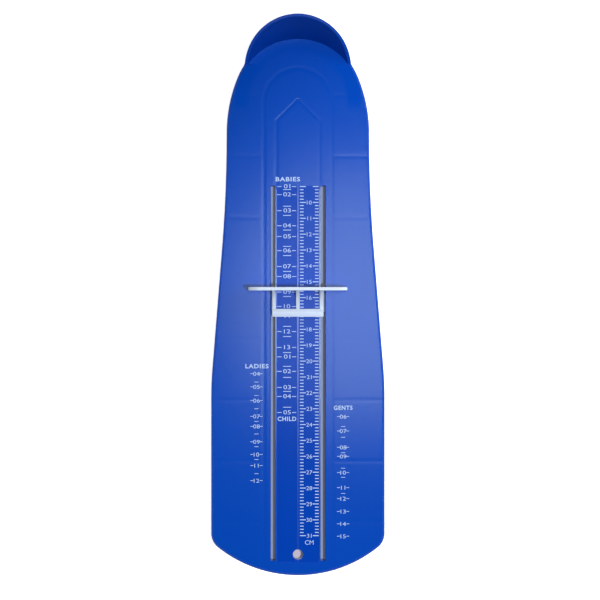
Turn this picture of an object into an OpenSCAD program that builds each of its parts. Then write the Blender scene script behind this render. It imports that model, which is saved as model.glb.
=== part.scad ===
// Foot measuring board with a raised heel cup and a sliding toe stop.
// The heel points along +Y, the board lies flat on Z = 0, and the middle of the
// whole outline is at the origin. Lengths along the scale count from its zero line.

/* [Board] */
// Height of the board, from the table to its top face
board_h = 10; // [8:0.5:14]
// Thickness of the top plate
plate_t = 2.5; // [2:0.1:3]
// Thickness of the skirt round the edge
skirt_t = 2; // [1.5:0.1:3]
// Distance from the zero line to the toe end
toe_end = 335.2; // [332:0.1:350]
// Width across the heel
heel_w = 90; // [84:1:96]
// Width across the toes
toe_w = 109.5; // [104:0.5:120]
// Radius of the long curve from the heel to the side
side_r = 91; // [70:1:110]
// Straight length of the side before it widens
waist_l = 1; // [0.5:0.5:20]
// Angle at which the sides widen
flare_a = 4.6; // [4:0.1:6]
// Radius of the curve into the widening
flare_in_r = 890; // [300:10:1200]
// Radius of the curve out of the widening
flare_out_r = 220; // [60:10:300]
// Radius of the curved toe edge
toe_r = 81; // [74:1:110]
// Radius of the two toe corners
corner_r = 11.5; // [4:0.5:14]
// Rounding of the edge of the top face
edge_r = 1.5; // [0.6:0.1:2]

/* [Heel cup] */
// Radius of the foot of the cup, inside
cup_r = 39.1; // [36:0.1:41]
// Thickness of the cup wall at its foot
cup_t = 1.8; // [1.5:0.1:3]
// Thickness of the cup wall at its rim
rim_t = 1.3; // [1.2:0.1:1.8]
// Height of the cup above the top face
cup_h = 36; // [25:1:45]
// Outward lean of the cup wall over its height
cup_lean = 9; // [4:0.1:12]
// Distance of the foot of the cup behind the zero line
cup_back = 3; // [0:0.1:5]
// Width of the border that rises towards the foot of the cup
border_l = 9.5; // [6:0.5:12]
// Rise of the border at the foot of the cup
border_h = 0.4; // [0.2:0.1:0.6]
// Slope of the rim where it leaves the board
rim_a = 61; // [54:1:72]
// Slope of the rim at the top of its back
rim_top_a = 46; // [36:1:50]
// Radius of the rim's curve off the board
rim_in_r = 3; // [2:0.5:4]

/* [Scale and slots] */
// Shortest foot on the scale
scale_min = 90; // [80:5:100]
// Longest foot on the scale
scale_max = 310; // [290:5:312]
// Distance from the middle to the inner edge of each slot
slot_x = 14.3; // [13:0.05:17]
// Width of each slot
slot_w = 2.8; // [2.5:0.05:3.5]
// Depth of the two sunk lanes for the numbers
lane_deep = 0.3; // [0.2:0.05:0.6]
// Width of the ridge between the two lanes
lane_ridge = 0.8; // [0.5:0.1:2]
// Width of the ridge between a lane and its slot
lane_edge = 1; // [0.6:0.1:2]
// Length of the lanes beyond the toe end of the slots
lane_over = 1; // [0.2:0.1:2]

/* [Hanging hole] */
// Distance of the hole from the zero line
hole_at = 321.9; // [320:0.1:324]
// Diameter of the hole
hole_d = 6.3; // [4:0.1:8]
// Wall of the boss round the hole
boss_t = 1.8; // [1.2:0.1:3]

/* [Ribs] */
// Thickness of a rib
rib_t = 1.4; // [1:0.1:2]
// Gap between the table and the lower edge of the deep ribs
rib_gap = 1; // [0.5:0.1:2]
// Depth of the low ribs between the slots
low_rib = 3; // [2:0.1:3.5]
// Half width of the channel that the deep ribs leave for the slider
channel_x = 21.5; // [20:0.5:26]
// Distance of the round end of the channel from the zero line
channel_at = 15.3; // [12:0.5:25]
// Distance of the first cross rib from the zero line
cross_at = 32.6; // [25:0.1:40]
// Pitch of the cross ribs
cross_pitch = 38.4; // [30:0.1:50]
// Distance of the peak of the low ribs from the zero line
peak_at = 37.7; // [35:0.1:45]
// Distance of the shoulders of the low ribs from the zero line
shoulder_at = 48.4; // [46:0.1:60]

/* [Slider] */
// Reading at which the slider stands
reading = 153.5; // [90:0.5:310]
// Width of the upright fin
fin_w = 61.5; // [45:0.5:75]
// Height of the fin above the board
fin_h = 25; // [15:1:34]
// Thickness of the fin
fin_t = 2.1; // [1.6:0.1:3]
// Radius of the fin's upper corners
fin_r = 7; // [3:0.5:12]
// Length of the slider along the board
slider_l = 18.5; // [18:0.1:24]
// Thickness of the slider's side and middle bars
bar_t = 2.25; // [1.8:0.05:3]
// Height of the slider's bars
bar_h = 2.6; // [2:0.1:4]
// Length of the rear bar along the board
rear_l = 4.9; // [4:0.1:7]
// Depth of the finger hollow in the rear bar
grip_h = 1; // [0.4:0.1:1.4]
// Width of the two lips of the finger hollow
grip_edge = 0.5; // [0.3:0.1:1]
// Height at which the braces meet the fin
brace_h = 17; // [8:1:22]
// Clearance between the slider and the board
run_gap = 0.2; // [0.1:0.05:0.4]

/* [Legs and retainer] */
// Length of a leg along the board
leg_l = 15.4; // [13:0.1:17]
// Thickness of a leg
leg_t = 1.5; // [1.2:0.1:1.8]
// Clearance between a leg and the inner edge of its slot
leg_gap = 0.3; // [0.2:0.05:0.5]
// Clearance between a leg and the end of its slot
end_gap = 0.3; // [0.2:0.05:1]
// Length of the tongue that passes through the retainer
tongue_l = 9; // [6:0.5:11]
// Reach of the barb on a tongue
barb_x = 0.8; // [0.5:0.1:1]
// Height of the barb on a tongue
barb_h = 1.2; // [0.8:0.1:1.6]
// Half width of the retainer
retainer_x = 20.7; // [19.5:0.1:21]
// Thickness of the retainer
retainer_t = 2; // [1.5:0.1:2.5]
// Radius of the retainer's corners
retainer_r = 2; // [1:0.5:4]
// Clearance round a tongue in the retainer
tongue_gap = 0.15; // [0.1:0.05:0.3]

/* [Hidden] */
$fn = 64;
cut = 1;

// The heel is round, and a longer curve runs from it to the parallel sides.
heel_r = cup_r + cup_t;
heel_c = [0, cup_back - cup_r];
side_a = acos((side_r - heel_w / 2) / (side_r - heel_r));
side_c = heel_c - (side_r - heel_r) * [cos(side_a), sin(side_a)];

// The sides widen along a straight line between two gentle curves.
flare_in_c = [heel_w / 2 + flare_in_r, side_c.y - waist_l];
flare_out_x = toe_w / 2 - flare_out_r;
flare_dx = (toe_w - heel_w) / 2 - (flare_in_r + flare_out_r) * (1 - cos(flare_a));
flare_dy = flare_dx / tan(flare_a) + (flare_in_r + flare_out_r) * sin(flare_a);
flare_out_c = [flare_out_x, flare_in_c.y - flare_dy];

// The toe edge is one shallow arc that meets the sides in round corners.
toe_c = [0, toe_r - toe_end];
corner_x = toe_w / 2 - corner_r;
corner_c = [corner_x, toe_c.y - sqrt(pow(toe_r - corner_r, 2) - pow(corner_x, 2))];
corner_a = atan2(corner_c.y - toe_c.y, corner_x);

// Middle of the outline along the board, with the cup's rim at its back.
back_end = heel_c.y + heel_r + cup_lean;
middle_y = (back_end - toe_end) / 2;

slot_start = scale_min - end_gap;
slot_end = scale_max + leg_l + end_gap;
under = board_h - plate_t;
root_z = board_h - plate_t / 2;
low_z = under - low_rib;
low_rib_x = slot_x - rib_t / 2;
toe_rib_at = slot_end + rib_t * 1.5;
lane_w = slot_x - lane_edge - lane_ridge / 2;

leg_x = slot_x + leg_gap;
frame_x = leg_x + leg_t;
sole_z = board_h + run_gap;
retainer_top = low_z - run_gap;
retainer_z = retainer_top - retainer_t;

function arc(c, r, a, b, n, first = 0) =
    [for (i = [first:n]) let (t = a + (b - a) * i / n) c + r * [cos(t), sin(t)]];

// One side of the outline, from the back to the toe end, moved inwards by d.
function half_outline(d) = concat(
    arc(heel_c, heel_r - d, 90, side_a, 20),
    arc(side_c, side_r - d, side_a, 0, 12, 1),
    arc(flare_in_c, flare_in_r + d, 180, 180 + flare_a, 6),
    arc(flare_out_c, flare_out_r - d, flare_a, 0, 4),
    arc(corner_c, corner_r - d, 0, corner_a, 8),
    arc(toe_c, toe_r - d, corner_a, -90, 14, 1)
);

function mirrored(p) = [for (i = [len(p) - 2:-1:1]) [-p[i].x, p[i].y]];

function outline(d) = let (half = half_outline(d)) concat(half, mirrored(half));

module prism(d, z0, z1) {
    translate([0, 0, z0])
        linear_extrude(z1 - z0)
            polygon(outline(d));
}

// Body inside a stack of outlines, each given as [inset, height].
module loft(rings) {
    n = len(outline(0));
    last = (len(rings) - 1) * n;
    points = [for (ring = rings) for (p = outline(ring[0])) [p.x, p.y, ring[1]]];
    walls = [for (k = [0:len(rings) - 2]) for (i = [0:n - 1])
        let (j = (i + 1) % n)
        [k * n + i, k * n + j, k * n + n + j, k * n + n + i]];
    foot = [[for (i = [n - 1:-1:0]) i]];
    top = [[for (i = [0:n - 1]) last + i]];
    polyhedron(points, concat(foot, walls, top), convexity = 4);
}

// Board without its cup: the rounded top edge is the last stretch of the loft.
module shell() {
    steps = 4;
    round_edge = [for (i = [0:steps])
        let (a = 90 * i / steps)
        [edge_r * (1 - cos(a)), board_h - edge_r + edge_r * sin(a)]];
    difference() {
        union() {
            prism(0, 0, board_h - edge_r);
            loft(round_edge);
        }
        prism(skirt_t, -cut, under);
    }
}

// Side view of the space above the rim: flat, a curve, and a slope that eases to the top.
module rim_space() {
    top_z = board_h + cup_h;
    slope_r = (top_z - root_z) / (cos(rim_top_a) - cos(rim_a));
    slope_c = [back_end + slope_r * sin(rim_top_a), top_z - slope_r * cos(rim_top_a)];
    foot_y = slope_c.x - slope_r * sin(rim_a);
    start_y = foot_y - rim_in_r * tan(rim_a / 2);
    polygon(concat(
        arc([start_y, root_z + rim_in_r], rim_in_r, -90, rim_a - 90, 8),
        arc(slope_c, slope_r, 90 + rim_a, 90 + rim_top_a, 12, 1),
        [[back_end, top_z + cut], [-toe_end, top_z + cut], [-toe_end, root_z]]
    ));
}

// Leaning wall, rooted in the edge of the board, with the border that rises towards it.
module cup() {
    span = 200;
    root_x = heel_r - (board_h - root_z) * cup_lean / cup_h;
    border_x = cup_r - border_l;
    border_r = (pow(border_l, 2) + pow(border_h, 2)) / (2 * border_h);
    border_a = asin(border_l / border_r);
    difference() {
        translate([heel_c.x, heel_c.y, 0])
            rotate([0, 0, 90 - span / 2])
                rotate_extrude(angle = span, $fn = 128)
                    polygon(concat(
                        [
                            [border_x, root_z],
                            [root_x, root_z],
                            [heel_r + cup_lean, board_h + cup_h],
                            [heel_r + cup_lean - rim_t, board_h + cup_h]
                        ],
                        arc([border_x, board_h + border_r], border_r, border_a - 90, -90, 6)
                    ));
        rotate([90, 0, 90])
            linear_extrude(2 * (heel_r + cup_lean + cut), center = true)
                rim_space();
    }
}

// Rib between two points, given across and along the board.
module rib(a, b) {
    v = b - a;
    translate([a.x, a.y])
        rotate(atan2(v.y, v.x))
            translate([0, -rib_t / 2])
                square([norm(v), rib_t]);
}

// Space under the board, between the deep ribs, in which the retainer runs.
module channel(grow) {
    x = channel_x + grow;
    round_y = -channel_at - channel_x - rib_t / 2;
    translate([0, round_y])
        circle(x, $fn = 96);
    translate([-x, -toe_rib_at])
        square([2 * x, toe_rib_at + round_y]);
}

module deep_ribs() {
    count = floor((toe_rib_at - cross_at) / cross_pitch);
    intersection() {
        translate([0, 0, rib_gap])
            linear_extrude(root_z - rib_gap) {
                difference() {
                    union() {
                        channel(rib_t);
                        for (i = [0:count])
                            rib([-toe_w, -cross_at - i * cross_pitch],
                                [toe_w, -cross_at - i * cross_pitch]);
                    }
                    channel(0);
                }
                rib([-toe_w, -toe_rib_at], [toe_w, -toe_rib_at]);
            }
        prism(skirt_t / 2, 0, board_h);
    }
}

module low_ribs() {
    translate([0, 0, low_z])
        linear_extrude(root_z - low_z) {
            for (s = [-1, 1]) {
                rib([s * low_rib_x, -shoulder_at], [s * low_rib_x, -toe_rib_at]);
                rib([s * low_rib_x, -shoulder_at], [0, -peak_at]);
            }
            rib([0, -slot_start], [0, -hole_at]);
            translate([0, -hole_at])
                circle(hole_d / 2 + boss_t);
        }
}

module board() {
    color("#0548B8")
        translate([0, -middle_y, 0])
            difference() {
                union() {
                    shell();
                    cup();
                    deep_ribs();
                    low_ribs();
                }
                for (s = [-1, 1])
                    translate([s * (slot_x + slot_w / 2) - slot_w / 2, -slot_end, under - cut])
                        cube([slot_w, slot_end - slot_start, plate_t + 2 * cut]);
                for (s = [0, 1])
                    mirror([s, 0, 0])
                        translate([lane_ridge / 2, -slot_end - lane_over, board_h - lane_deep])
                            cube([lane_w, slot_end - slot_start + lane_over, lane_deep + cut]);
                translate([0, -hole_at, low_z - cut])
                    cylinder(h = plate_t + low_rib + 2 * cut, d = hole_d);
            }
}

// Places what is drawn with the fin's front face at y = 0.
module at_reading() {
    translate([0, -reading - middle_y, 0])
        children();
}

module fin() {
    w = fin_w / 2;
    translate([0, 0, sole_z])
        rotate([90, 0, 0])
            linear_extrude(fin_t) {
                translate([-w, 0])
                    square([fin_w, fin_h - fin_r]);
                translate([fin_r - w, 0])
                    square([fin_w - 2 * fin_r, fin_h]);
                for (s = [-1, 1])
                    translate([s * (w - fin_r), fin_h - fin_r])
                        circle(fin_r);
            }
}

// Bar with the brace that rises along it to the fin, as seen from the side.
module braced_bar(x0, t) {
    run = slider_l - rear_l - fin_t;
    rise = brace_h - bar_h;
    translate([x0, 0, sole_z])
        rotate([90, 0, 90])
            linear_extrude(t) {
                translate([-slider_l, 0])
                    square([slider_l, bar_h]);
                polygon(concat(
                    [for (i = [0:12])
                        let (a = 90 * i / 12)
                        [-fin_t - run * (1 - cos(a)), bar_h + rise * (1 - sin(a))]],
                    [[-fin_t / 2, 0], [-fin_t / 2, brace_h]]
                ));
            }
}

// Cross bar with a hollow for a fingertip.
module rear_bar() {
    grip_r = (pow(rear_l / 2 - grip_edge, 2) + pow(grip_h, 2)) / (2 * grip_h);
    translate([-frame_x, 0, sole_z])
        rotate([90, 0, 90])
            linear_extrude(2 * frame_x)
                difference() {
                    translate([-slider_l, 0])
                        square([rear_l, bar_h + grip_h]);
                    translate([rear_l / 2 - slider_l, bar_h + grip_r])
                        circle(grip_r);
                }
}

module leg() {
    tongue_y = (tongue_l + leg_l) / 2;
    tip_z = retainer_z - barb_h;
    translate([leg_x, -leg_l, retainer_top])
        cube([leg_t, leg_l, sole_z + bar_h - retainer_top]);
    translate([leg_x, -tongue_y, tip_z])
        cube([leg_t, tongue_l, retainer_top - tip_z]);
    translate([leg_x, tongue_l - tongue_y, tip_z])
        rotate([90, 0, 0])
            linear_extrude(tongue_l)
                polygon([
                    [0, 0],
                    [leg_t, 0],
                    [leg_t + barb_x, barb_h],
                    [0, barb_h]
                ]);
}

module toe_slider() {
    color("#F2F5FA")
        at_reading()
            union() {
                fin();
                rear_bar();
                braced_bar(-bar_t / 2, bar_t);
                for (s = [0, 1])
                    mirror([s, 0, 0]) {
                        braced_bar(frame_x - bar_t, bar_t);
                        leg();
                    }
            }
}

module slider_retainer() {
    window = [leg_t + 2 * tongue_gap, tongue_l + 2 * tongue_gap];
    color("#E4E8EE")
        at_reading()
            translate([0, 0, retainer_z])
                linear_extrude(retainer_t)
                    difference() {
                        union() {
                            translate([-retainer_x, retainer_r - leg_l])
                                square([2 * retainer_x, leg_l - 2 * retainer_r]);
                            translate([retainer_r - retainer_x, -leg_l])
                                square([2 * (retainer_x - retainer_r), leg_l]);
                            for (s = [-1, 1])
                                for (y = [-retainer_r, retainer_r - leg_l])
                                    translate([s * (retainer_x - retainer_r), y])
                                        circle(retainer_r);
                        }
                        for (s = [-1, 1])
                            translate([s * (leg_x + leg_t / 2), -leg_l / 2])
                                square(window, center = true);
                    }
}

board();
toe_slider();
slider_retainer();
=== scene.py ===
import math

import bmesh
import bpy
from mathutils import Matrix, Vector


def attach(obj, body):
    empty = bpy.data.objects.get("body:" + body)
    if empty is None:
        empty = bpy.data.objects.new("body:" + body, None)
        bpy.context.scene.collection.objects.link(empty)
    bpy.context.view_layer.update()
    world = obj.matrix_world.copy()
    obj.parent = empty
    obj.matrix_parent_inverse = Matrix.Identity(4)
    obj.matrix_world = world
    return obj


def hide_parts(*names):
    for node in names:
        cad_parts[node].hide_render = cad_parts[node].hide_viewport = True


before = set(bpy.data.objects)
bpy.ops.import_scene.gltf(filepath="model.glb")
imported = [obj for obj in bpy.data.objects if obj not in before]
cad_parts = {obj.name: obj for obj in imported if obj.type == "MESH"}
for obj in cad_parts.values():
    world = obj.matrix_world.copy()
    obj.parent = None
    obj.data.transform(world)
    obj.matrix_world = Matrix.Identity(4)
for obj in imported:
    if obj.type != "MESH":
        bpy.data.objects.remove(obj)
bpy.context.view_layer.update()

# ---------------------------------------------------------------- the view
# The board is seen from straight above, heel at the top of the picture. One pixel is
# 0.63 mm on the board's top face, and the lens is long, so the picture is almost flat.
MM = 0.001
PIXEL = 0.63 * MM
IMAGE = 600
SENSOR = 36
BOARD_TOP = 10 * MM
CAMERA_HEIGHT = 1200 * MM
CAMERA_X = 1.32 * MM
CAMERA_Y = -0.8 * MM

camera_data = bpy.data.cameras.new("camera")
camera_data.sensor_width = SENSOR
camera_data.lens = SENSOR * CAMERA_HEIGHT / (IMAGE * PIXEL)
camera = bpy.data.objects.new("camera", camera_data)
camera.location = (CAMERA_X, CAMERA_Y, BOARD_TOP + CAMERA_HEIGHT)
bpy.context.scene.collection.objects.link(camera)
bpy.context.scene.camera = camera
bpy.context.scene.view_settings.view_transform = "Standard"

# ---------------------------------------------------------------- the tent
# A white tent, open overhead for the camera, brightest low down, at the right and at the
# heel. The board's flat top mirrors the dark opening. The camera and shiny things see
# plain white walls.
TENT_LIGHT = 0.13
HORIZON_LIGHT = 0.8
LOW_WALL = 0.35
RIGHT_SHARE = 0.5
HEEL_SHARE = 0.4
OPENING_SOFT = 0.78
OPENING_RIM = 0.95
WHITE = (1, 1, 1, 1)


def link(tree, source, target):
    tree.links.new(source, target)


def math_node(tree, operation, *values):
    """One Math node. Each value is a number or the socket that it comes from."""
    node = tree.nodes.new("ShaderNodeMath")
    node.operation = operation
    for socket, value in zip(node.inputs, values):
        if isinstance(value, (int, float)):
            socket.default_value = value
        else:
            link(tree, value, socket)
    return node.outputs[0]


def smooth_range(tree, value, low, high, start, end):
    """Takes value from low..high to start..end with soft ends."""
    node = tree.nodes.new("ShaderNodeMapRange")
    node.interpolation_type = "SMOOTHSTEP"
    link(tree, value, node.inputs["Value"])
    limits = {"From Min": low, "From Max": high, "To Min": start, "To Max": end}
    for name, number in limits.items():
        node.inputs[name].default_value = number
    return node.outputs["Result"]


def split_place(tree, place):
    """The x, y and z of a place or direction."""
    node = tree.nodes.new("ShaderNodeSeparateXYZ")
    link(tree, place, node.inputs[0])
    return node.outputs


world = bpy.data.worlds.new("tent")
world.use_nodes = True
bpy.context.scene.world = world
tree = world.node_tree
tree.nodes.clear()
direction = tree.nodes.new("ShaderNodeTexCoord").outputs["Generated"]
across, along, up = split_place(tree, direction)
wall = smooth_range(tree, up, OPENING_SOFT, OPENING_RIM, 1, 0)
level = smooth_range(tree, up, 0, LOW_WALL, HORIZON_LIGHT, TENT_LIGHT)
side = math_node(tree, "MULTIPLY_ADD", across, RIGHT_SHARE, 1)
side = math_node(tree, "MULTIPLY_ADD", along, HEEL_SHARE, side)
tent = math_node(tree, "MULTIPLY", math_node(tree, "MULTIPLY", wall, level), side)
path = tree.nodes.new("ShaderNodeLightPath")
mirrored_wall = math_node(tree, "MULTIPLY", path.outputs["Is Glossy Ray"], wall)
seen = math_node(tree, "MAXIMUM", path.outputs["Is Camera Ray"], mirrored_wall)
seen = math_node(tree, "MAXIMUM", seen, path.outputs["Is Transmission Ray"])
lit = tree.nodes.new("ShaderNodeBackground")
lit.inputs["Color"].default_value = WHITE
link(tree, tent, lit.inputs["Strength"])
plain = tree.nodes.new("ShaderNodeBackground")
plain.inputs["Color"].default_value = WHITE
mix = tree.nodes.new("ShaderNodeMixShader")
link(tree, seen, mix.inputs["Fac"])
link(tree, lit.outputs[0], mix.inputs[1])
link(tree, plain.outputs[0], mix.inputs[2])
link(tree, mix.outputs[0], tree.nodes.new("ShaderNodeOutputWorld").inputs["Surface"])

# ---------------------------------------------------------------- the lamps
# The broad lamp makes the cool sheen on the right half of the board. The spot makes the
# short shadows to the upper left, and its soft edge dims the heel's left. The side lamp is
# low at the right: it lights the left of the cup and leaves its right side dark.
LAMP_HEIGHT = BOARD_TOP + CAMERA_HEIGHT
BROAD_PLACE = (71 * MM, 5 * MM, LAMP_HEIGHT)
BROAD_SIZE = 312 * MM
BROAD_COLOUR = (0.84, 1, 0.9)
BROAD_POWER = 1.85
SPOT_PLACE = (180 * MM, -85 * MM, LAMP_HEIGHT)
SPOT_SIZE = 30 * MM
SPOT_CONE = math.radians(36)
SPOT_SOFT = 0.59
SPOT_POWER = 37.5
SIDE_X = 330 * MM
SIDE_Y = 150 * MM
SIDE_HEIGHT = 190 * MM
SIDE_SIZE = 200 * MM
SIDE_POWER = 0.5


def hang_lamp(data, place, power):
    """Hangs a lamp at a place, shining straight down."""
    data.energy = power
    lamp = bpy.data.objects.new(data.name, data)
    lamp.location = place
    bpy.context.scene.collection.objects.link(lamp)
    return lamp


broad = bpy.data.lights.new("broad_lamp", "AREA")
broad.shape = "DISK"
broad.size = BROAD_SIZE
broad.color = BROAD_COLOUR
hang_lamp(broad, BROAD_PLACE, BROAD_POWER)

spot = bpy.data.lights.new("spot_lamp", "SPOT")
spot.shadow_soft_size = SPOT_SIZE
spot.spot_size = SPOT_CONE
spot.spot_blend = SPOT_SOFT
hang_lamp(spot, SPOT_PLACE, SPOT_POWER).visible_glossy = False

side_data = bpy.data.lights.new("side_lamp", "AREA")
side_data.shape = "DISK"
side_data.size = SIDE_SIZE
side_lamp = hang_lamp(side_data, (SIDE_X, SIDE_Y, SIDE_HEIGHT), SIDE_POWER)
side_lamp.rotation_euler = (0, math.atan2(SIDE_X, SIDE_HEIGHT), 0)
side_lamp.visible_glossy = False

# ---------------------------------------------------------------- the paper
# White paper under the board. It takes the board's shadow and shows as plain white. Where the
# board covers it, seen through the slots and the hole, its colour is painted shade, darker and
# bluer, and its glow drops to a small painted glow.
PAPER_SIZE = 4.0
PAPER_ROUGHNESS = 0.9
PAPER_WHITE = (0.92, 0.92, 0.92, 1)
PAPER_GLOW = 0.86
# Painted glow: a small emission on the paper that the board covers.
PAINTED_GLOW_UNDER_BOARD = 0.07
# Painted shade: the paper's colour under the slots and under the hole.
PAINTED_SHADE_UNDER_SLOTS = (0.25, 0.33, 0.54, 1)
PAINTED_SHADE_UNDER_HOLE = (0.62, 0.56, 0.68, 1)
HOLE_X = 6 * MM
COVERED_X = 20 * MM
COVERED_Y = 121 * MM
COVERED_MIDDLE_Y = -47 * MM
COVERED_SOFT = 6 * MM


def colour_between(tree, fac, start, end):
    """A colour that runs from start to end, each given or the socket that it comes from."""
    node = tree.nodes.new("ShaderNodeMix")
    node.data_type = "RGBA"
    for name, colour in (("A", start), ("B", end)):
        if isinstance(colour, tuple):
            node.inputs[name].default_value = colour
        else:
            link(tree, colour, node.inputs[name])
    link(tree, fac, node.inputs["Factor"])
    return node.outputs["Result"]


def new_material(name):
    """A material with one Principled shader, its node tree and that shader."""
    material = bpy.data.materials.new(name)
    material.use_nodes = True
    return material, material.node_tree, material.node_tree.nodes["Principled BSDF"]


def object_place(tree):
    """The place on the piece, which moves with it."""
    return tree.nodes.new("ShaderNodeTexCoord").outputs["Object"]


paper_material, tree, shader = new_material("paper")
shader.inputs["Roughness"].default_value = PAPER_ROUGHNESS
shader.inputs["Specular IOR Level"].default_value = 0
shader.inputs["Emission Color"].default_value = WHITE
path = tree.nodes.new("ShaderNodeLightPath")
seen = math_node(tree, "MAXIMUM", path.outputs["Is Camera Ray"], path.outputs["Is Glossy Ray"])
seen = math_node(tree, "MAXIMUM", seen, path.outputs["Is Transmission Ray"])
x, y, z = split_place(tree, object_place(tree))
aside = math_node(tree, "ABSOLUTE", x)
past_side = math_node(tree, "SUBTRACT", aside, COVERED_X)
along = math_node(tree, "ABSOLUTE", math_node(tree, "SUBTRACT", y, COVERED_MIDDLE_Y))
past_end = math_node(tree, "SUBTRACT", along, COVERED_Y)
past = math_node(tree, "MAXIMUM", past_side, past_end)
# Plain white glow for the backdrop, dropping under the board to a small painted glow.
glow = smooth_range(tree, past, 0, COVERED_SOFT, PAINTED_GLOW_UNDER_BOARD, PAPER_GLOW)
link(tree, math_node(tree, "MULTIPLY", seen, glow), shader.inputs["Emission Strength"])
# Painted shade: the covered paper is coloured darker under the slots and lighter under the hole.
off_hole = smooth_range(tree, aside, HOLE_X, 2 * HOLE_X, 0, 1)
painted_under_shade = colour_between(tree, off_hole, PAINTED_SHADE_UNDER_HOLE, PAINTED_SHADE_UNDER_SLOTS)
bare = smooth_range(tree, past, 0, COVERED_SOFT, 0, 1)
link(tree, colour_between(tree, bare, painted_under_shade, PAPER_WHITE), shader.inputs["Base Color"])

bm = bmesh.new()
bmesh.ops.create_grid(bm, x_segments=1, y_segments=1, size=PAPER_SIZE / 2)
paper_mesh = bpy.data.meshes.new("paper")
bm.to_mesh(paper_mesh)
bm.free()
paper_mesh.materials.append(paper_material)
paper = bpy.data.objects.new("paper", paper_mesh)
bpy.context.scene.collection.objects.link(paper)

# ---------------------------------------------------------------- the board
# One injection moulding in blue plastic: top plate, skirt, leaning heel cup, slots, sunk
# lanes and ribs. Sink marks show where the ribs meet the top plate, the slider has polished
# the ridges beside the lanes, and the lane floors are a darker blue. The cup's inner wall is
# painted a darker blue, as painted shade.
BOARD_BLUE = (0.0012, 0.067, 0.51, 1)
LANE_BLUE = (0.001, 0.054, 0.47, 1)
# Painted shade: a darker blue for the cup's inner wall.
CUP_PAINTED_SHADE_BLUE = (0.0009, 0.04, 0.34, 1)
BLUE_SHADES = (0.93, 1.07)
BLUE_ROUGHNESS = 0.17
BLUE_UNEVENNESS = 0.04
BLUE_GRAIN = 0.15
BOARD_GLOSS = 0.25
LANE_GLOSS = 0.1

GRAIN_SCALE = 1800
GRAIN_DETAIL = 2
GRAIN_HEIGHT = 0.02 * MM
SHADE_SCALE = 14
SHADE_DETAIL = 3


def grain_group():
    """Moulded plastic: fine grain and slow unevenness, from Object coordinates."""
    group = bpy.data.node_groups.new("moulded_grain", "ShaderNodeTree")
    for name, direction, kind in (
        ("Roughness", "INPUT", "NodeSocketFloat"),
        ("Unevenness", "INPUT", "NodeSocketFloat"),
        ("Grain Depth", "INPUT", "NodeSocketFloat"),
        ("Roughness", "OUTPUT", "NodeSocketFloat"),
        ("Shade", "OUTPUT", "NodeSocketFloat"),
        ("Normal", "OUTPUT", "NodeSocketVector"),
    ):
        group.interface.new_socket(name=name, in_out=direction, socket_type=kind)
    given = group.nodes.new("NodeGroupInput").outputs
    result = group.nodes.new("NodeGroupOutput").inputs
    place = object_place(group)

    def noise(scale, detail):
        node = group.nodes.new("ShaderNodeTexNoise")
        node.inputs["Scale"].default_value = scale
        node.inputs["Detail"].default_value = detail
        link(group, place, node.inputs["Vector"])
        return node.outputs["Fac"]

    slow = noise(SHADE_SCALE, SHADE_DETAIL)
    uneven = math_node(group, "SUBTRACT", slow, 0.5)
    spread = math_node(group, "MULTIPLY", uneven, given["Unevenness"])
    link(group, math_node(group, "ADD", spread, given["Roughness"]), result["Roughness"])
    link(group, slow, result["Shade"])
    bump = group.nodes.new("ShaderNodeBump")
    bump.inputs["Distance"].default_value = GRAIN_HEIGHT
    link(group, given["Grain Depth"], bump.inputs["Strength"])
    link(group, noise(GRAIN_SCALE, GRAIN_DETAIL), bump.inputs["Height"])
    link(group, bump.outputs["Normal"], result["Normal"])
    return group


def use_grain(tree, roughness, unevenness, depth):
    """Places the grain group in a material and gives its outputs."""
    node = tree.nodes.new("ShaderNodeGroup")
    node.node_tree = bpy.data.node_groups.get("moulded_grain") or grain_group()
    node.inputs["Roughness"].default_value = roughness
    node.inputs["Unevenness"].default_value = unevenness
    node.inputs["Grain Depth"].default_value = depth
    return node.outputs


def tinted(colour, share):
    """The colour made lighter or darker by a share."""
    return tuple(min(1, c * share) for c in colour[:3]) + (1,)


def distance(tree, x, y):
    """How far x and y lie from the middle."""
    x_part = math_node(tree, "MULTIPLY", x, x)
    y_part = math_node(tree, "MULTIPLY", y, y)
    return math_node(tree, "SQRT", math_node(tree, "ADD", x_part, y_part))


ARCH_Y = 123.9 * MM
CHANNEL_X = 21.5 * MM
SHOULDER_Y = 112.3 * MM
LOW_RIB_X = 13.6 * MM
SLOT_START_Y = 71 * MM
FIRST_CROSS_Y = 128.1 * MM
CROSS_PITCH = 38.4 * MM
SINK_WIDTH = 2.2 * MM
LONG_SINK = 0.045 * MM
CROSS_SINK = 0.02 * MM


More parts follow.
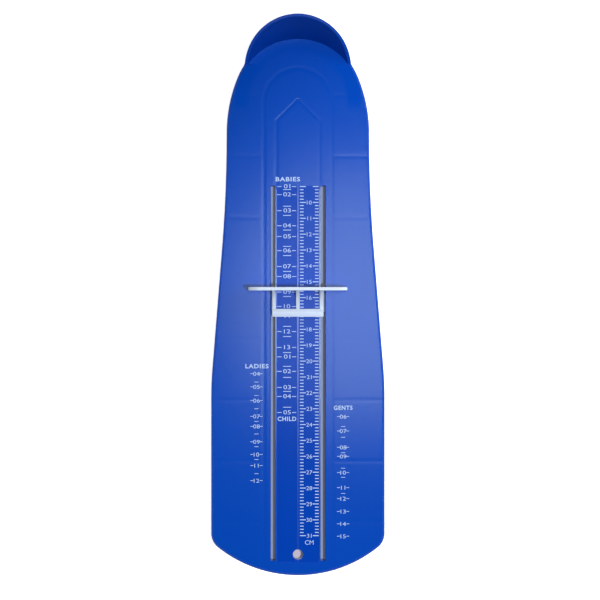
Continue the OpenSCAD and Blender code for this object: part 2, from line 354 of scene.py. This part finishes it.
def sink_marks(tree, place):
    """Height of the shallow hollows that the ribs leave in the top face, in metres."""
    x, y, z = split_place(tree, place)

    # The deep rib runs down both sides and round the heel end in a half circle.
    past = math_node(tree, "MAXIMUM", math_node(tree, "SUBTRACT", y, ARCH_Y), 0)
    beyond = math_node(tree, "SUBTRACT", distance(tree, x, past), CHANNEL_X)
    deep = math_node(tree, "ABSOLUTE", beyond)

    # The low ribs start beside the slots and meet in a peak.
    lift = math_node(tree, "SUBTRACT", y, SHOULDER_Y)
    slant = math_node(tree, "SUBTRACT", LOW_RIB_X, math_node(tree, "MAXIMUM", lift, 0))
    low = math_node(tree, "SUBTRACT", math_node(tree, "ABSOLUTE", x), slant)
    low = math_node(tree, "ABSOLUTE", low)
    past_peak = math_node(tree, "SUBTRACT", lift, LOW_RIB_X)
    before_start = math_node(tree, "SUBTRACT", SLOT_START_Y, y)
    for past_end in (past_peak, before_start):
        low = math_node(tree, "ADD", low, math_node(tree, "MAXIMUM", past_end, 0))

    # Cross ribs run from the deep rib out to the skirt.
    from_first = math_node(tree, "SUBTRACT", FIRST_CROSS_Y, y)
    row = math_node(tree, "DIVIDE", from_first, CROSS_PITCH)
    off = math_node(tree, "SUBTRACT", row, math_node(tree, "ROUND", row))
    cross = math_node(tree, "MULTIPLY", math_node(tree, "ABSOLUTE", off), CROSS_PITCH)
    cross = math_node(tree, "MAXIMUM", cross, math_node(tree, "MULTIPLY", beyond, -1))

    nearest_long = math_node(tree, "MINIMUM", deep, low)
    long_mark = smooth_range(tree, nearest_long, 0, SINK_WIDTH, -LONG_SINK, 0)
    cross_mark = smooth_range(tree, cross, 0, SINK_WIDTH, -CROSS_SINK, 0)
    return math_node(tree, "MINIMUM", long_mark, cross_mark)


RIDGE_GLOSS = 0.75
RIDGE_X = 14.3 * MM
RIDGE_FADE = 0.05 * MM
LANES_MIDDLE_Y = -47.5 * MM
LANES_HALF = 118.5 * MM
CUP_Y = 124.6 * MM
CUP_R = 39.1 * MM
CUP_FADE = 1 * MM
BORDER_R = 29.6 * MM
BORDER_FADE = 3 * MM
BORDER_START = 8 * MM
BORDER_DULL = 0.85


def plate_gloss(tree, place):
    """The slider has polished the ridges by the lanes, and the cup's border is duller."""
    x, y, z = split_place(tree, place)
    past_side = math_node(tree, "SUBTRACT", math_node(tree, "ABSOLUTE", x), RIDGE_X)
    along = math_node(tree, "ABSOLUTE", math_node(tree, "SUBTRACT", y, LANES_MIDDLE_Y))
    past_end = math_node(tree, "SUBTRACT", along, LANES_HALF)
    outside = math_node(tree, "MAXIMUM", past_side, past_end)
    gloss = smooth_range(tree, outside, -RIDGE_FADE, RIDGE_FADE, RIDGE_GLOSS, BOARD_GLOSS)

    past = math_node(tree, "SUBTRACT", y, CUP_Y)
    reach = distance(tree, x, past)
    border = smooth_range(tree, reach, BORDER_R, BORDER_R + BORDER_FADE, 0, BORDER_DULL)
    inside = smooth_range(tree, reach, CUP_R, CUP_R + CUP_FADE, 1, 0)
    border = math_node(tree, "MULTIPLY", border, inside)
    in_cup = smooth_range(tree, past, -BORDER_START, 0, 0, 1)
    border = math_node(tree, "MULTIPLY", border, in_cup)
    return math_node(tree, "MULTIPLY", gloss, math_node(tree, "SUBTRACT", 1, border))


def blue_plastic(name, blue, gloss=None):
    """The board's plastic, with the ribs' sink marks. No gloss given: the top plate's."""
    material, tree, shader = new_material(name)
    grain = use_grain(tree, BLUE_ROUGHNESS, BLUE_UNEVENNESS, BLUE_GRAIN)
    dark, light = (tinted(blue, share) for share in BLUE_SHADES)
    colour = colour_between(tree, grain["Shade"], dark, light)
    link(tree, colour, shader.inputs["Base Color"])
    link(tree, grain["Roughness"], shader.inputs["Roughness"])
    place = object_place(tree)
    if gloss is None:
        link(tree, plate_gloss(tree, place), shader.inputs["Specular IOR Level"])
    else:
        shader.inputs["Specular IOR Level"].default_value = gloss
    bump = tree.nodes.new("ShaderNodeBump")
    bump.inputs["Distance"].default_value = 1
    link(tree, sink_marks(tree, place), bump.inputs["Height"])
    link(tree, grain["Normal"], bump.inputs["Normal"])
    link(tree, bump.outputs["Normal"], shader.inputs["Normal"])
    return material


MERGE = 0.01 * MM
FLAT_JOIN = math.radians(0.3)
SHARP = math.radians(28)
CREASE = math.radians(36)
LEVEL = 0.9999


def merged_copy(node):
    """A copy of a frame node's mesh with its triangles joined into flat faces."""
    bm = bmesh.new()
    bm.from_mesh(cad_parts[node].data)
    bmesh.ops.remove_doubles(bm, verts=bm.verts, dist=MERGE)
    bmesh.ops.dissolve_limit(
        bm, angle_limit=FLAT_JOIN, verts=bm.verts, edges=bm.edges, use_dissolve_boundaries=False
    )
    return bm


def round_off(bm, width, segments, wanted):
    """Rounds the outer edges whose middle point is wanted, as a mould does."""
    edges = []
    for edge in bm.edges:
        middle = (edge.verts[0].co + edge.verts[1].co) / 2
        if edge.calc_face_angle_signed(0) > SHARP and wanted(middle):
            edges.append(edge)
    bmesh.ops.bevel(
        bm, geom=edges, offset=width, offset_type="OFFSET", segments=segments, profile=0.5,
        affect="EDGES", clamp_overlap=False, material=-1
    )


def add_piece(name, mesh, material, body):
    """An object for a finished mesh, riding on a body of the frame."""
    piece = bpy.data.objects.new(name, mesh)
    bpy.context.scene.collection.objects.link(piece)
    mesh.materials.append(material)
    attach(piece, body)
    return piece


def moulded_piece(name, bm, material, body):
    """A piece with smooth sides, flat level faces and crisp inner corners."""
    for face in bm.faces:
        face.smooth = abs(face.normal.z) < LEVEL
    for edge in bm.edges:
        edge.smooth = edge.calc_face_angle(0) < CREASE
    mesh = bpy.data.meshes.new(name)
    bm.to_mesh(mesh)
    bm.free()
    piece = add_piece(name, mesh, material, body)
    flat = piece.modifiers.new("flat_faces", "WEIGHTED_NORMAL")
    flat.keep_sharp = True
    return piece


RIM_ROUNDING = 0.5 * MM
SLOT_ROUNDING = 0.5 * MM
HOLE_ROUNDING = 0.25 * MM
RIDGE_ROUNDING = 0.12 * MM
FOOT_ROUNDING = 0.3 * MM
RIB_ROUNDING = 0.2 * MM
SLOT_OUTSIDE = 14.5 * MM
HOLE_Y = -161.2 * MM
HOLE_REACH = 3.3 * MM
LANE_FLOOR = 9.7 * MM
RIB_TOP = 5 * MM


def on_rim(p):
    return p.z > BOARD_TOP + RIM_ROUNDING


def on_top(p):
    return LANE_FLOOR - MERGE < p.z < BOARD_TOP + MERGE and p.y < ARCH_Y


def on_slot(p):
    return on_top(p) and abs(p.x) > SLOT_OUTSIDE


def on_hole(p):
    return on_top(p) and math.dist(p.xy, (0, HOLE_Y)) < HOLE_REACH


def on_ridge(p):
    return on_top(p) and not on_slot(p) and not on_hole(p)


def on_foot(p):
    return p.z < MERGE


def on_rib(p):
    return MERGE < p.z < RIB_TOP


bm = merged_copy("board")
round_off(bm, RIM_ROUNDING, 4, on_rim)
round_off(bm, SLOT_ROUNDING, 4, on_slot)
round_off(bm, HOLE_ROUNDING, 4, on_hole)
round_off(bm, RIDGE_ROUNDING, 2, on_ridge)
round_off(bm, FOOT_ROUNDING, 4, on_foot)
round_off(bm, RIB_ROUNDING, 2, on_rib)
board_plastic = blue_plastic("blue_plastic", BOARD_BLUE)
board = moulded_piece("board_shell", bm, board_plastic, "base")
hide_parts("board")

# The lane floors take their own darker, less glossy blue. The cup's inner wall takes a darker
# blue that is painted shade.
LANE_FINISH = 1
CUP_PAINTED_SHADE = 2
CUP_FOOT = 10.6 * MM
INWARDS = 0.8

board.data.materials.append(blue_plastic("blue_lane_plastic", LANE_BLUE, LANE_GLOSS))
board.data.materials.append(blue_plastic("blue_cup_painted_shade", CUP_PAINTED_SHADE_BLUE, BOARD_GLOSS))
cup_middle = Vector((0, CUP_Y, 0))
for face in board.data.polygons:
    if abs(face.center.z - LANE_FLOOR) < MERGE and face.normal.z > LEVEL:
        face.material_index = LANE_FINISH
    # Faces of the cup's inner wall, facing its middle, take the darker blue of painted shade.
    inwards = (cup_middle - face.center).to_2d().normalized()
    if face.center.z > CUP_FOOT and face.normal.to_2d().dot(inwards) > INWARDS:
        face.material_index = CUP_PAINTED_SHADE

# ---------------------------------------------------------------- the slots' end walls
# Short blue walls under the plate, moulded with the board. They close the ends of both slots
# and show as dark blue in them.
SLOT_ENDS = (SLOT_START_Y, -165 * MM)
SLOT_MIDDLE_X = 15.7 * MM
SLOT_WIDTH = 2.8 * MM
END_WALL = 1.4 * MM
END_WALL_LOW = 1 * MM
PLATE_UNDER = 7.5 * MM

bm = bmesh.new()
wall_size = Matrix.Diagonal((SLOT_WIDTH, END_WALL, PLATE_UNDER - END_WALL_LOW, 1))
for end in SLOT_ENDS:
    wall_y = end + math.copysign(END_WALL / 2, end)
    for side in (-1, 1):
        centre = (side * SLOT_MIDDLE_X, wall_y, (END_WALL_LOW + PLATE_UNDER) / 2)
        bmesh.ops.create_cube(bm, size=1, matrix=Matrix.Translation(centre) @ wall_size)
moulded_piece("slot_end_walls", bm, board_plastic, "base")

# ---------------------------------------------------------------- the ruler
# Pale ink printed on the floor of the right lane: a line for every second millimetre from
# 9 to 31 cm at both sides, longer at each centimetre, with the centimetres between them.
ZERO_Y = 160.7 * MM
INK = 0.03 * MM
INK_SUNK = 0.01 * MM
INK_MERGE = 0.001 * MM
INK_DARK = (0.46, 0.62, 0.92, 1)
INK_LIGHT = (0.54, 0.69, 0.95, 1)
INK_ROUGHNESS = 0.5
INK_UNEVENNESS = 0.1
INK_GRAIN = 0.1
CAP = 0.729
CURVE_STEPS = 3
LANE_START_Y = SLOT_START_Y
STEP_RUN = 0.01 * MM

RULER_LINE = 0.55 * MM
RULER_START = 90
RULER_END = 310
RULER_STEP = 2
RULER_LEFT = 1.3
RULER_RIGHT = 13.1
CENTIMETRE_REACH = 3.7
SHORT_REACH = 2.3
RULER_FIGURES_X = 7.15
RULER_FIGURE = 2.6 * MM
RULER_STRETCH = 1.12
UNIT = 2.9 * MM
UNIT_AT = 314.2

ink, tree, shader = new_material("pale_ink")
grain = use_grain(tree, INK_ROUGHNESS, INK_UNEVENNESS, INK_GRAIN)
ink_colour = colour_between(tree, grain["Shade"], INK_DARK, INK_LIGHT)
link(tree, ink_colour, shader.inputs["Base Color"])
link(tree, grain["Roughness"], shader.inputs["Roughness"])


def ink_bar(bm, x_from, x_to, reading, floor, thick):
    """One printed line across, at a reading in millimetres from the heel."""
    middle = (x_from + x_to) / 2 * MM
    centre = (middle, ZERO_Y - reading * MM, floor - INK_SUNK + INK / 2)
    size = Matrix.Diagonal((abs(x_to - x_from) * MM, thick, INK, 1))
    bmesh.ops.create_cube(bm, size=1, matrix=Matrix.Translation(centre) @ size)


def lay_over_step(mesh):
    """Lets ink on the lane floor climb the step at the lane's start onto the top face."""
    step = bmesh.new()
    step.from_mesh(mesh)
    for y in (LANE_START_Y, LANE_START_Y + STEP_RUN):
        everything = step.verts[:] + step.edges[:] + step.faces[:]
        bmesh.ops.bisect_plane(step, geom=everything, plane_co=(0, y, 0), plane_no=(0, 1, 0))
    raised = [v for v in step.verts if v.co.y > LANE_START_Y + STEP_RUN / 2]
    bmesh.ops.translate(step, verts=raised, vec=(0, 0, BOARD_TOP - LANE_FLOOR))
    step.to_mesh(mesh)
    step.free()


def ink_text(bm, words, x, reading, floor, height, stretch, bold=0, spacing=1, drape=False):
    """Printed figures or letters, centred at x and at a reading from the heel."""
    curve = bpy.data.curves.new("words", "FONT")
    curve.body = words
    curve.size = height / CAP
    curve.extrude = INK / 2
    curve.offset = bold
    curve.space_character = spacing
    curve.resolution_u = CURVE_STEPS
    holder = bpy.data.objects.new("words", curve)
    mesh = bpy.data.meshes.new_from_object(holder)
    across = [v.co.x for v in mesh.vertices]
    middle = (min(across) + max(across)) / 2
    seat = Vector((x * MM, ZERO_Y - reading * MM, floor - INK_SUNK + INK / 2))
    mesh.transform(
        Matrix.Translation(seat)
        @ Matrix.Diagonal((stretch, 1, 1, 1))
        @ Matrix.Translation((-middle, -height / 2, 0))
    )
    if drape:
        lay_over_step(mesh)
    bm.from_mesh(mesh)
    bpy.data.objects.remove(holder)
    bpy.data.curves.remove(curve)
    bpy.data.meshes.remove(mesh)


def add_print(name, bm):
    """A finished print on the board."""
    bmesh.ops.remove_doubles(bm, verts=bm.verts, dist=INK_MERGE)
    mesh = bpy.data.meshes.new(name)
    bm.to_mesh(mesh)
    bm.free()
    add_piece(name, mesh, ink, "base")


bm = bmesh.new()
for mark in range(RULER_START, RULER_END + 1, RULER_STEP):
    whole = mark % 10 == 0
    reach = CENTIMETRE_REACH if whole else SHORT_REACH
    ink_bar(bm, RULER_LEFT, RULER_LEFT + reach, mark, LANE_FLOOR, RULER_LINE)
    ink_bar(bm, RULER_RIGHT - reach, RULER_RIGHT, mark, LANE_FLOOR, RULER_LINE)
    if whole and mark > RULER_START:
        ink_text(
            bm, str(mark // 10), RULER_FIGURES_X, mark, LANE_FLOOR, RULER_FIGURE, RULER_STRETCH
        )
ink_text(bm, "CM", RULER_FIGURES_X, UNIT_AT, LANE_FLOOR, UNIT, 1)
add_print("ruler_print", bm)

# ---------------------------------------------------------------- the small sizes
# Shoe sizes printed in the left lane, as (size, millimetres from the heel), with a short line
# for each half size. The first size lies across the step at the lane's start.
SMALL_SIZES = (
    (1, 90.0), (2, 95.1), (3, 105.2), (4, 114.7), (5, 121.5), (6, 130.4), (7, 140.4),
    (8, 146.7), (9, 156.5), (10, 165.6), (11, 171.6), (12, 181.4), (13, 191.4), (1, 197.3),
    (2, 206.5), (3, 216.6), (4, 222.3), (5, 232.4),
)
SMALL_HALVES = (
    91.9, 102.4, 108.2, 117.4, 127.7, 133.5, 143.5, 153.6, 159.3, 178.1, 184.5, 194.6,
    203.3, 210.3, 219.1, 229.1,
)
STEP_END = 92
SMALL_FIGURE = 2.7 * MM
SMALL_STRETCH = 1.4
SMALL_RAISE = 0.25
SMALL_X = -6.8
SMALL_LEFT = (-13.2, -10.3)
SMALL_RIGHT = (-3.7, -1.1)
SMALL_HALF = (-9.3, -4.3)
LINE = 0.42 * MM
WORD = 2.7 * MM
WORD_BOLD = 0.09 * MM
WORD_SPACING = 1.15


def ink_word(bm, word, x, reading, floor, stretch):
    """The heading of a scale, in bolder and wider set letters."""
    ink_text(bm, word, x, reading, floor, WORD, stretch, WORD_BOLD, WORD_SPACING)


bm = bmesh.new()
for size, mark in SMALL_SIZES:
    ink_text(
        bm, "%02d" % size, SMALL_X, mark - SMALL_RAISE, LANE_FLOOR, SMALL_FIGURE, SMALL_STRETCH,
        drape=mark < STEP_END
    )
    ink_bar(bm, *SMALL_LEFT, mark, LANE_FLOOR, LINE)
    ink_bar(bm, *SMALL_RIGHT, mark, LANE_FLOOR, LINE)
for mark in SMALL_HALVES:
    ink_bar(bm, *SMALL_HALF, mark, LANE_FLOOR, LINE)
ink_word(bm, "BABIES", -6.3, 85.3, BOARD_TOP, 1.25)
ink_word(bm, "CHILD", -6.9, 236.3, LANE_FLOOR, 1)
add_print("small_size_print", bm)

# ---------------------------------------------------------------- the large sizes
# Shoe sizes for grown-ups, printed on the top face outside both slots in the same way.
# Each figure has a thin line at both sides, and each half size one in the middle.
LEFT_X = -26.1
LEFT_SIZES = (
    (4, 207.9), (5, 216.2), (6, 224.8), (7, 234.8), (8, 241.1), (9, 250.8), (10, 258.8),
    (11, 265.8), (12, 275.3),
)
LEFT_HALVES = (213.2, 221.7, 230.0, 238.0, 245.9, 253.9, 262.0, 270.9)
RIGHT_X = 28.5
RIGHT_SIZES = (
    (6, 234.9), (7, 244.0), (8, 254.3), (9, 260.0), (10, 270.2), (11, 279.7), (12, 286.6),
    (13, 294.7), (14, 302.5), (15, 310.3),
)
RIGHT_HALVES = (241.2, 248.0, 257.7, 267.5, 273.2, 283.4)
LARGE_FIGURE = 2.6 * MM
LARGE_STRETCH = 1.25
LINE_THIN = 0.34 * MM
LINE_INNER = 2.0
LINE_OUTER = 3.8
HALF_REACH = 1.3

bm = bmesh.new()
for sizes, halves, x in ((LEFT_SIZES, LEFT_HALVES, LEFT_X), (RIGHT_SIZES, RIGHT_HALVES, RIGHT_X)):
    for size, mark in sizes:
        ink_text(bm, "%02d" % size, x, mark, BOARD_TOP, LARGE_FIGURE, LARGE_STRETCH)
        ink_bar(bm, x - LINE_OUTER, x - LINE_INNER, mark, BOARD_TOP, LINE_THIN)
        ink_bar(bm, x + LINE_INNER, x + LINE_OUTER, mark, BOARD_TOP, LINE_THIN)
    for mark in halves:
        ink_bar(bm, x - HALF_REACH, x + HALF_REACH, mark, BOARD_TOP, LINE_THIN)
ink_word(bm, "LADIES", -25.8, 203.1, BOARD_TOP, 1.15)
ink_word(bm, "GENTS", RIGHT_X, 229.3, BOARD_TOP, 0.95)
add_print("large_size_print", bm)

# ---------------------------------------------------------------- the toe stop
# One white moulding: upright fin, braced frame with two windows, and two legs that pass
# through the slots. It slides along the board.
SLIDER_WHITE = (0.67, 0.76, 0.94, 1)
WHITE_SHADES = (0.97, 1.02)
WHITE_ROUGHNESS = 0.32
WHITE_UNEVENNESS = 0.06
WHITE_GRAIN = 0.1
FIN_REAR_Y = 5.1 * MM
BAR_TOP = 12.9 * MM
BRACE_TIP = 21.5 * MM
SLIDER_ROUNDING = 0.35 * MM
LIP_ROUNDING = 0.1 * MM

white_plastic, tree, shader = new_material("white_plastic")
grain = use_grain(tree, WHITE_ROUGHNESS, WHITE_UNEVENNESS, WHITE_GRAIN)
shades = [tinted(SLIDER_WHITE, share) for share in WHITE_SHADES]
link(tree, colour_between(tree, grain["Shade"], *shades), shader.inputs["Base Color"])
link(tree, grain["Roughness"], shader.inputs["Roughness"])
link(tree, grain["Normal"], shader.inputs["Normal"])


def on_brace_tip(p):
    return p.z > BRACE_TIP and p.y < FIN_REAR_Y


def on_lip(p):
    return p.y < 0 and BAR_TOP < p.z < BRACE_TIP


bm = merged_copy("toe_slider")
round_off(bm, SLIDER_ROUNDING, 4, lambda p: not on_brace_tip(p) and not on_lip(p))
round_off(bm, LIP_ROUNDING, 2, on_lip)
toe_stop = moulded_piece("toe_stop", bm, white_plastic, "slide")
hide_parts("toe_slider")

# ---------------------------------------------------------------- the retainer
# A white plate under the board, in the same plastic. The toe stop's barbed tongues snap
# through its two openings and hold the toe stop down on the board.
RETAINER_ROUNDING = 0.25 * MM

bm = merged_copy("slider_retainer")
round_off(bm, RETAINER_ROUNDING, 3, lambda p: True)
retainer = moulded_piece("retainer_plate", bm, white_plastic, "slide")
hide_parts("slider_retainer")
